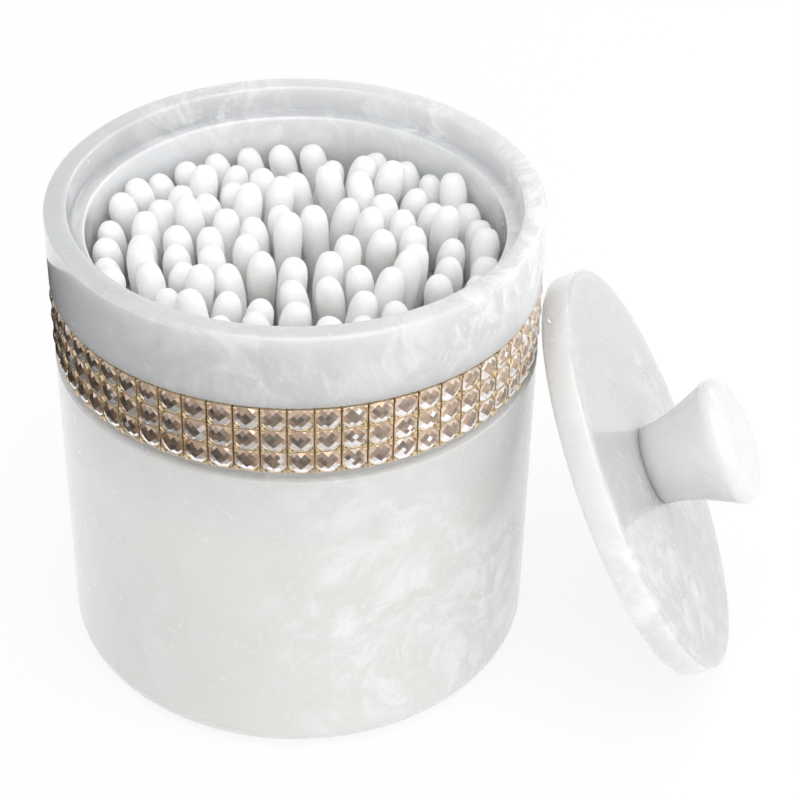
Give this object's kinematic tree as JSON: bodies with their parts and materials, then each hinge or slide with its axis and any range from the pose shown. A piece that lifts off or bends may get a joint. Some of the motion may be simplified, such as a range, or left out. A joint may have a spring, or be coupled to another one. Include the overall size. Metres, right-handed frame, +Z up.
{
  "type": "cotton swab holder",
  "caption": "Round pearl resin jar for cotton swabs with a crystal band in a groove round the wall, swabs standing in it, and its knobbed lid leaning beside it.",
  "frame": {"origin": "middle of the jar's flat base, on the surface it stands on", "axes": "+Z is up along the jar's axis, the picture looks along +Y, and the lid leans on the +X side"},
  "size_m": [0.127, 0.0883, 0.089],
  "materials": {
    "pearl_resin": "polished pearl",
    "gold_setting": "bright gold",
    "crystal": "faceted",
    "paper_stick": "matte",
    "cotton": "soft"
  },
  "bodies": {
    "root": {"jar": "pearl_resin", "band": "gold_setting", "stones": "crystal", "lid": "pearl_resin", "knob": "pearl_resin", "swab_sticks": "paper_stick", "swab_tips": "cotton"}
  },
  "joints": []
}
